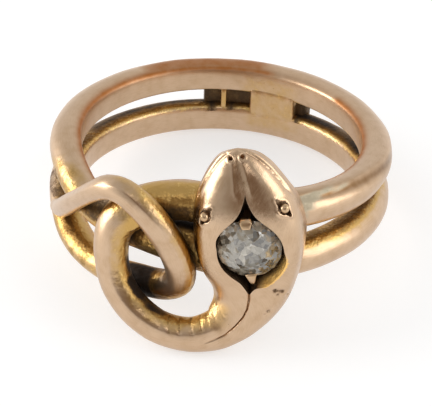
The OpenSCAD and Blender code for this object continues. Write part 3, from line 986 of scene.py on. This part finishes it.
# block bent round the finger: angle from first to last, its section a rounded rectangle that swells and
# dips by small waves
def solderRings(first, last, near, far, low, high):
    angles = np.linspace(first, last, max(int((last - first) * 1.2), 8))
    a = fullTurn * np.arange(48) / 48
    across, up = bluntCircle(a, 0.4)
    rings = []
    for i, angle in enumerate(angles):
        end = 1 - 0.25 * (bell(i, 0.8) + bell(len(angles) - 1 - i, 0.8))
        wave = 0.003 * np.sin(1.7 * angle + 3 * up)
        lift = (near + far) / 2 + across * (far - near) / 2 * (0.6 + 0.4 * end) + wave * (across < 0)
        height = (low + high) / 2 + up * (high - low) / 2
        rings.append(onWall(np.full(48, angle), height, lift))
    return rings


goldPieces += [loftedPiece(name, solderRings(*row)) for name, row in solder.items()]
for piece in goldPieces:
    paintPoints(piece, "course", toHead(cornersOf(piece)))
    if piece.name == "backBridge":
        paintPoints(piece, "beyond", np.full(len(piece.data.vertices), 0.6))
print("claws, eyes and solder made")


# old cut stone: table, eight stars, eight kites, upper and lower girdle facets, pavilion and culet;
# a kite lies flat because its side corners stand at crown * (1 - r cos 22.5) / (1 - table)
def stoneRings():
    a = fullTurn * np.arange(16) / 16
    even, odd = a[::2], a[1::2]
    crown, base, low = stone["crown"], stone["girdle"] / 2, -stone["depth"]
    beside = math.cos(math.pi / 8)
    crownMid = base + (crown - base) * (1 - stone["midCrown"] * beside) / (1 - stone["table"])
    lowMid = -base + (low + base) * (1 - stone["midPavilion"] * beside) / (1 - stone["culet"])
    return [flatRing(*row) for row in (
        (stone["table"], crown, even), (stone["midCrown"], crownMid, odd), (1, base, a), (1, -base, a),
        (stone["midPavilion"], lowMid, odd), (stone["culet"], low, even))]


# faces of a round solid turned so that each looks away from its middle
def outwards(points, faces):
    a, b, c = (points[faces[:, k]] for k in range(3))
    away = (np.cross(b - a, c - a) * (a - points.mean(axis=0))).sum(axis=1) > 0
    return np.where(away[:, None], faces, faces[:, ::-1])


# the stone, its facets laid between the corners of its rings
def stonePiece():
    rings = stoneRings()
    table, crown, upper, lower, below, culet = np.concatenate([[0], np.cumsum([len(r) for r in rings])])[:6]
    i = np.arange(8)
    j, h = (i + 1) % 8, (i - 1) % 8
    k = np.arange(16)
    facets = [
        [table + i, crown + i, table + j],
        [table + i, crown + h, upper + 2 * i, crown + i],
        [crown + i, upper + 2 * i, upper + 2 * i + 1],
        [crown + i, upper + 2 * i + 1, upper + 2 * j],
        [upper + k, lower + k, lower + (k + 1) % 16, upper + (k + 1) % 16],
        [below + i, lower + 2 * i + 1, lower + 2 * i],
        [below + i, lower + 2 * j, lower + 2 * i + 1],
        [below + h, lower + 2 * i, below + i, culet + i],
        [below + i, culet + j, culet + i],
    ]
    faceLists = [np.stack(corners, axis=1) for corners in facets] + [(table + i)[None, :], (culet + i)[None, :]]
    points = np.vstack(rings) * [stone["radius"], 1, stone["radius"]]
    points = fromHead(points + [0, stone["lift"], stone["rise"]])
    return meshPiece("oldCutStone", points, [outwards(points, faces) for faces in faceLists], smooth=False)


diamond = stonePiece()
print("stone cut")


# a shader socket that can stand in sums, each operator adding its Math node
class Wire:
    def __init__(self, finish, socket):
        self.finish, self.socket = finish, socket

    def maths(self, operation, *terms):
        return self.finish.add("Math", {"operation": operation}, *terms)

    def __add__(self, other): return self.maths("ADD", self, other)
    def __radd__(self, other): return self.maths("ADD", other, self)
    def __sub__(self, other): return self.maths("SUBTRACT", self, other)
    def __rsub__(self, other): return self.maths("SUBTRACT", other, self)
    def __mul__(self, other): return self.maths("MULTIPLY", self, other)
    def __rmul__(self, other): return self.maths("MULTIPLY", other, self)
    def least(self, other): return self.maths("MINIMUM", self, other)
    def most(self, other): return self.maths("MAXIMUM", self, other)

    # 0 at low to 1 at high, smooth
    def ease(self, low, high):
        return self.finish.add("MapRange", {"interpolation_type": "SMOOTHSTEP"}, self, low, high, 0.0, 1.0)


# node tree and the methods that add nodes to it
class Board:
    def __init__(self, tree):
        self.tree = tree
        tree.nodes.clear()

    def join(self, value, socket):
        if isinstance(value, Wire):
            self.tree.links.new(value.socket, socket)
        else:
            socket.default_value = value

    def add(self, kind, settings=None, *values, out=0, **named):
        node = self.tree.nodes.new("ShaderNode" + kind)
        for name, value in (settings or {}).items():
            setattr(node, name, value)
        for socket, value in zip([s for s in node.inputs if s.enabled], values):
            self.join(value, socket)
        for name, value in named.items():
            self.join(value, node.inputs[name])
        return Wire(self, [s for s in node.outputs if s.enabled][out])

    def vector(self, operation, *values, **named):
        return self.add("VectorMath", {"operation": operation}, *values, **named)

    def blend(self, factor, first, second):
        return self.add("Mix", {"data_type": "RGBA"}, factor, first, second)


# one material: a Principled shader, and what feeds it
class Finish(Board):
    def __init__(self, name, **values):
        self.material = bpy.data.materials.new(name)
        self.material.use_nodes = True
        super().__init__(self.material.node_tree)
        self.surface = self.tree.nodes.new("ShaderNodeBsdfPrincipled")
        output = self.tree.nodes.new("ShaderNodeOutputMaterial")
        self.tree.links.new(self.surface.outputs[0], output.inputs["Surface"])
        self.feed(**values)

    def feed(self, **values):
        for name, value in values.items():
            self.join(value, self.surface.inputs[name.replace("_", " ")])

    # Object coordinates in millimetres
    def inMillimetres(self):
        return self.vector("SCALE", self.add("TexCoord", out=3), Scale=1000.0)

    def painted(self, name, vector=False):
        return self.add("Attribute", {"attribute_name": name}, out=1 if vector else 2)

    def noise(self, place, scale, detail=3.0, rough=0.55):
        return self.add("TexNoise", None, Vector=place, Scale=scale, Detail=detail, Roughness=rough)


# sRGB 0 to 255 to a linear colour
def tint(red, green, blue):
    return tuple(((v / 255 + 0.055) / 1.055) ** 2.4 if v > 10 else v / 3294.6 for v in (red, green, blue)) + (1.0,)


gold = {
    "worn": tint(206, 177, 147),
    "sheltered": tint(196, 158, 94),
    # bright gold for flecks and painted glints
    "bright": tint(246, 214, 142),
    "copper": tint(170, 110, 60),
    "flush": tint(190, 159, 127),
    # brown stain that is partly painted shade
    "stain": tint(112, 78, 40),
    # near-black soot that is partly painted shade
    "soot": tint(46, 32, 20),
    "pale": tint(187, 177, 153),
    "shaded": tint(130, 99, 67),
    # painted warm glow
    "glow": tint(255, 204, 116),
    "roughness": 0.3,
}


# rose gold, yellower where it is sheltered, stained brown and darkened by painted shade where strands crowd each other,
# with painted glints, glow, highlights and reflections; a piece beside the snake says how sheltered and how sooty and
# shaded it is instead
def goldFinish(name, sheltered=None, sootAndShadeAmount=0.0):
    metal = Finish(name)
    place = metal.inMillimetres()
    mottle = metal.noise(place, 1.3, 4.0)
    grain = metal.noise(place, 8.0, 5.0, 0.65)
    streak = metal.noise(metal.vector("MULTIPLY", metal.painted("course", vector=True), (0.5, 7.0, 1.0)), 3.0, 3.0)
    speck = grain.ease(0.66, 0.74)
    hammer = metal.noise(place, 3.2, 2.0)
    patchy, grainy = mottle - 0.5, grain - 0.5
    if sheltered is None:
        crowd, beyond, shadeAndGrime, edge, slope, polish = (
            metal.painted(kind) for kind in ("crowd", "beyond", "shadeAndGrime", "goldEdgeHighlight", "slope", "polish"))
        yellow = (crowd + beyond * 0.9 + patchy * 0.8).ease(0.1, 1.0)
        # bright gold flecks and painted glints, with a painted highlight along the lower bands' inner edge
        bright = (grainy * 2.2 + patchy * 1.5 + edge * 0.45 + beyond * 0.15).ease(0.25, 0.75)
        bright = bright * (yellow + edge).least(1.0)
        # brown stain, partly painted shade, where strands crowd, in recesses and at random
        crowded = ((crowd - 0.9) * 1.2 + beyond * 0.35).most(-0.4)
        stain = (crowded + shadeAndGrime * 1.3 + grainy * 1.8 + patchy * 2.0).ease(0.1, 1.0)
        # near-black soot and painted shade where strands crowd closest and in the marked recesses
        packed = ((crowd - 1.6) * 1.5).most(-0.6)
        soot = (packed + shadeAndGrime * 1.3 + patchy * 0.9 + grainy * 0.6).ease(0.05, 1.0)
        # copper patina and painted reflection along the upper bands' inner edge
        copper = (metal.painted("copperEdgeAndReflection") * (0.6 + mottle * 0.7)).least(1.0)
        pale = metal.painted("pale") * (mottle + grainy * 2.0 + 0.45)
        # painted shade below the ridge
        shaded = (metal.painted("underRidge") * (0.55 + mottle * 0.7)).least(1.0)
        glow = (slope * (0.5 + grain)).least(1.0)
        layers = [(shaded, "shaded"), (glow, "glow"), (copper, "copper"), (pale.least(0.85), "pale")]
        rough = (beyond * 0.7 + crowd * 0.8 + slope).least(1.0)
        streaky = 0.2 + polish * 1.6
        matt = gold["roughness"] - polish * 0.11 + pale * 0.3 + copper * 0.25
        metallic = 1.0 - pale * 0.35 - slope * 0.45
    else:
        yellow = (mottle * 0.5 + sheltered).ease(0.2, 0.9)
        # bright flecks and painted glints
        bright = (grain - 0.3) * sheltered
        stain = (grainy * 1.5 + sheltered * 0.4 + sootAndShadeAmount).ease(0.2, 1.0)
        soot = (mottle * 0.5 + sootAndShadeAmount).ease(0.4, 1.2)
        rough = mottle * 0.3
        layers, streaky, matt, metallic = [], 0.2, gold["roughness"], 1.0
    # colours laid one over another, each with its share
    layers = [(yellow, "sheltered"), (bright * 0.7, "bright")] + layers
    layers += [((stain * 0.8 + speck * 0.25).least(0.9), "stain"), (soot, "soot")]
    flush = (patchy * 1.4 + (streak - 0.5) * 1.2 + 0.35).ease(0.0, 1.0)
    colour = metal.blend(flush, gold["worn"], gold["flush"])
    for share, kind in layers:
        colour = metal.blend(share, colour, gold[kind])
    height = grain * (0.12 + rough * 0.9) + streak * (streaky + rough * 0.6) + mottle * 2.0 + hammer * rough * 14.0
    metal.feed(Base_Color=colour, Metallic=metallic - soot * 0.6,
               Roughness=matt + grainy * 0.14 + stain * 0.15 + soot * 0.2,
               Normal=metal.add("Bump", None, Strength=0.3, Distance=0.00002, Height=height))
    return metal.material


skinGold = goldFinish("roseGold")
# the back plate between the turns takes soot and painted shade, darker than the other trims
trims = {"trimGold": (0.15, 0.0), "solderGold": (0.45, 0.0), "sootAndShadeGold": (0.5, 0.66)}
trims = {name: goldFinish(name, *values) for name, values in trims.items()}

gem = {
    "patch": 1.4, "fleck": 3.6, "bend": 0.3, "tilt": 1.3, "roughness": 0.06,
    "dark": tint(66, 58, 44), "light": tint(216, 208, 190),
}


# cloudy grey stone, its greys partly painted light: patches that each lean their own way and hold their own grey,
# standing in for the light that comes back from the facets beneath
def stoneFinish():
    ice = Finish("cloudyStone", IOR=2.4, Roughness=gem["roughness"])
    place = ice.inMillimetres()
    ripple = ice.add("TexNoise", None, Vector=place, Scale=1.5, out=1)
    bent = ice.vector("ADD", place, ice.vector("SCALE", ripple, Scale=gem["bend"]))
    patch, fleck = (ice.add("TexVoronoi", {"feature": "F1"}, Vector=bent, Scale=gem[size], out=1)
                    for size in ("patch", "fleck"))
    first, second = ice.add("SeparateColor", None, patch), ice.add("SeparateColor", None, fleck)
    tone = first * 0.4 + second * 0.3 + ice.noise(place, 1.0, 3.0) * 0.5
    lean = ice.vector("SUBTRACT", ice.blend(0.5, patch, fleck), (0.5, 0.5, 0.5))
    leaning = ice.vector("ADD", ice.add("NewGeometry", out=1), ice.vector("SCALE", lean, Scale=gem["tilt"]))
    ice.feed(Base_Color=ice.blend(tone.ease(0.25, 1.15), gem["dark"], gem["light"]),
             Normal=ice.vector("NORMALIZE", leaning))
    return ice.material


gemFinish = stoneFinish()
snake.data.materials.clear()
snake.data.materials.append(skinGold)
for piece in goldPieces:
    finish = {"backPlate": "sootAndShadeGold", "backBar": "solderGold"}.get(piece.name, "trimGold")
    piece.data.materials.append(skinGold if piece.name == "backBridge" else trims[finish])
diamond.data.materials.append(gemFinish)
for piece in [snake] + goldPieces:
    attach(piece, "root")
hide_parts("snake")
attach(diamond, "root")
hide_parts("diamond")
print("finishes on")

# camera: the photograph's own view, elevation and roll seen from the ring, and the pixel where the
# middle of the finger hole falls in a frame of the given size
view = {
    "elevation": 30.2, "roll": -2.28, "distance": 200.0, "pixelsPerMm": 15.99,
    "middleX": 220.55, "middleY": 164.8, "frameWidth": 432, "frameHeight": 406,
}


# camera at that view: the middle of its picture is the spot seen from the hole's middle by as many pixels as the two
# lie apart in the photograph
def addCamera():
    e, roll = math.radians(view["elevation"]), math.radians(view["roll"])
    back = np.array([0, -math.cos(e), math.sin(e)])
    level, up = np.array([1.0, 0, 0]), np.array([0, math.sin(e), math.cos(e)])
    right = level * math.cos(roll) - up * math.sin(roll)
    above = level * math.sin(roll) + up * math.cos(roll)
    eye = back * view["distance"]
    aside, down = view["frameWidth"] / 2 - view["middleX"], view["frameHeight"] / 2 - view["middleY"]
    seen = (right * aside - above * down) / view["pixelsPerMm"]
    forward = (seen - eye) / np.linalg.norm(seen - eye)
    right = np.cross(forward, above)
    right /= np.linalg.norm(right)
    axes = restMatrix @ np.stack([right, np.cross(right, forward), -forward], axis=1)
    data = bpy.data.cameras.new("photoView")
    data.sensor_width = 36.0
    data.lens = view["pixelsPerMm"] * view["distance"] / view["frameWidth"] * data.sensor_width
    data.clip_start, data.clip_end = 0.01, 10.0
    camera = placed("photoView", data)
    camera.matrix_world = Matrix.Translation(atRest(eye)[0].tolist()) @ Matrix(axes.tolist()).to_4x4()
    bpy.context.scene.camera = camera


addCamera()

# studio: two low soft boxes at the sides, a small one above the camera, each with its place, width,
# height and radiance, and a plain pale floor
studio = {
    "floorHeight": -4.127, "floorHalf": 0.7, "floorGrey": 0.55, "floorGlow": 0.54,
    "lights": {
        "leftBox": (-0.13, 0.0, 0.035, 0.1, 0.075, 4.8),
        "rightBox": (0.13, -0.03, 0.05, 0.09, 0.1, 2.0),
        "crestLight": (0.03, -0.18, 0.24, 0.05, 0.05, 3.0),
    },
}


# rectangular light that faces the ring: power is its radiance times area times pi
def addLight(name, place, wide, tall, radiance):
    data = bpy.data.lights.new(name, "AREA")
    data.shape = "RECTANGLE"
    data.size, data.size_y = wide, tall
    data.energy = radiance * wide * tall * math.pi
    lamp = placed(name, data)
    lamp.location = place
    lamp.rotation_euler = (-Vector(place)).to_track_quat("-Z", "Y").to_euler()
    lamp.visible_camera = False


for name, row in studio["lights"].items():
    addLight(name, row[:3], *row[3:])

floorMesh = bpy.data.meshes.new("paleFloor")
h, z = studio["floorHalf"], studio["floorHeight"] * mm
floorMesh.from_pydata([(-h, -h, z), (h, -h, z), (h, h, z), (-h, h, z)], [], [(0, 1, 2, 3)])
floor = placed("paleFloor", floorMesh)
paper = Finish("palePaper", Roughness=0.9, Base_Color=(studio["floorGrey"],) * 3 + (1.0,),
               Emission_Color=(1, 1, 1, 1), Emission_Strength=studio["floorGlow"])
floorMesh.materials.append(paper.material)

# sky: level towards the camera, beyond the ring and overhead, rise towards either side, and how far it
# darkens and warms round the camera itself
sky = {
    "near": 0.5, "beyond": 0.85, "overhead": 0.62, "side": 0.35, "dark": 0.28,
    "camera": (0.06, -0.88, 0.47), "warm": (1.0, 0.72, 0.52, 1.0),
}


# air that gives this light, its level set by the direction looked in
def addSky():
    world = bpy.data.worlds.new("studioAir")
    bpy.context.scene.world = world
    world.use_nodes = True
    air = Board(world.node_tree)
    way = air.add("TexCoord", out=0)
    x, y, up = (air.add("SeparateXYZ", None, way, out=i) for i in range(3))
    core = air.vector("DOT_PRODUCT", way, sky["camera"]).ease(0.86, 0.99)
    level = sky["near"] + y.ease(-0.4, 0.5) * (sky["beyond"] - sky["near"]) + (x * x).ease(0.2, 0.85) * sky["side"]
    tone = level + (sky["overhead"] - level) * up.ease(0.6, 0.95) - core * sky["dark"]
    light = air.tree.nodes.new("ShaderNodeBackground")
    air.join(tone, light.inputs["Strength"])
    air.join(air.blend(core, (1.0, 1.0, 1.0, 1.0), sky["warm"]), light.inputs["Color"])
    output = air.tree.nodes.new("ShaderNodeOutputWorld")
    air.tree.links.new(light.outputs[0], output.inputs["Surface"])


addSky()
bpy.context.scene.view_settings.view_transform = "Standard"
print("camera and lights set")
